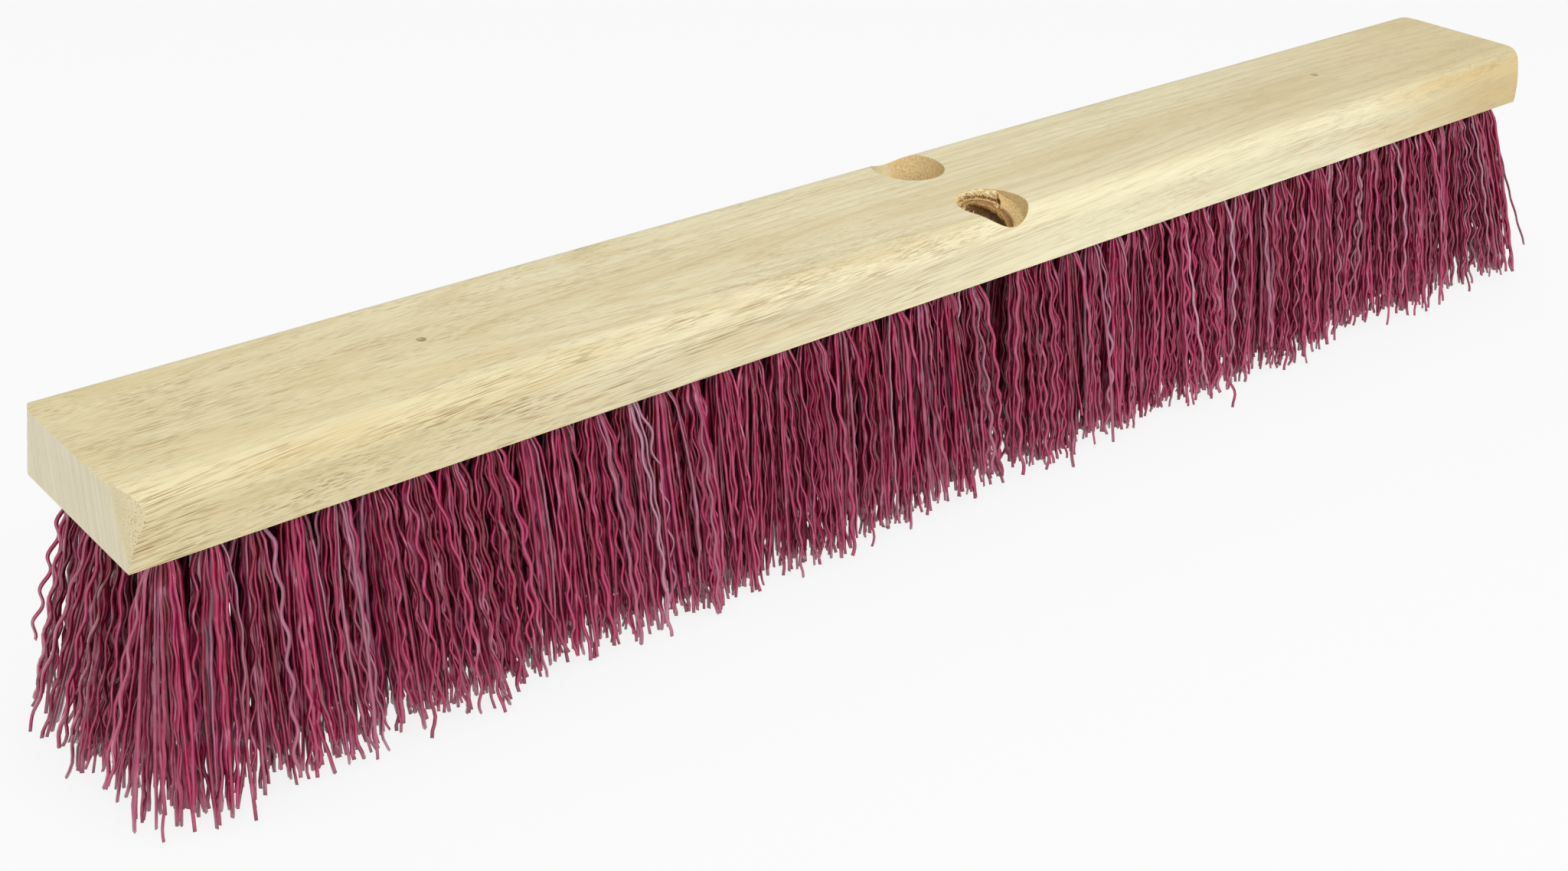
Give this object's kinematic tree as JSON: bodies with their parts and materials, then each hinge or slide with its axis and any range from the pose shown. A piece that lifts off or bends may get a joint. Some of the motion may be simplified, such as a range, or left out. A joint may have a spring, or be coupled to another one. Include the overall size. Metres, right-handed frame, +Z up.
{
  "type": "push broom head",
  "caption": "Wide push broom head: a long hardwood block with slanted threaded and tapered handle holes, filled with rows of crimped plastic bristle tufts.",
  "frame": {"origin": "under the middle of the block, in the plane of the trimmed bristle tips", "axes": "+X along the block towards its right end, +Y from the front side (threaded hole) to the back side (tapered hole), +Z up through the block's top face"},
  "size_m": [0.629, 0.087, 0.0984],
  "materials": {
    "hardwood": "sanded, unvarnished pale hardwood",
    "bristle": "glossy crimped extruded plastic, maroon with mauve strands",
    "staple_wire": "bright drawn wire"
  },
  "bodies": {
    "root": {"block": "hardwood", "tufts_front_left": "bristle", "tufts_front_right": "bristle", "tufts_front_inner_left": "bristle", "tufts_front_inner_right": "bristle", "tufts_middle_left": "bristle", "tufts_middle_right": "bristle", "tufts_back_inner_left": "bristle", "tufts_back_inner_right": "bristle", "tufts_back_left": "bristle", "tufts_back_right": "bristle", "staples_front_left": "staple_wire", "staples_front_right": "staple_wire", "staples_front_inner_left": "staple_wire", "staples_front_inner_right": "staple_wire", "staples_middle_left": "staple_wire", "staples_middle_right": "staple_wire", "staples_back_inner_left": "staple_wire", "staples_back_inner_right": "staple_wire", "staples_back_left": "staple_wire", "staples_back_right": "staple_wire"}
  },
  "joints": []
}
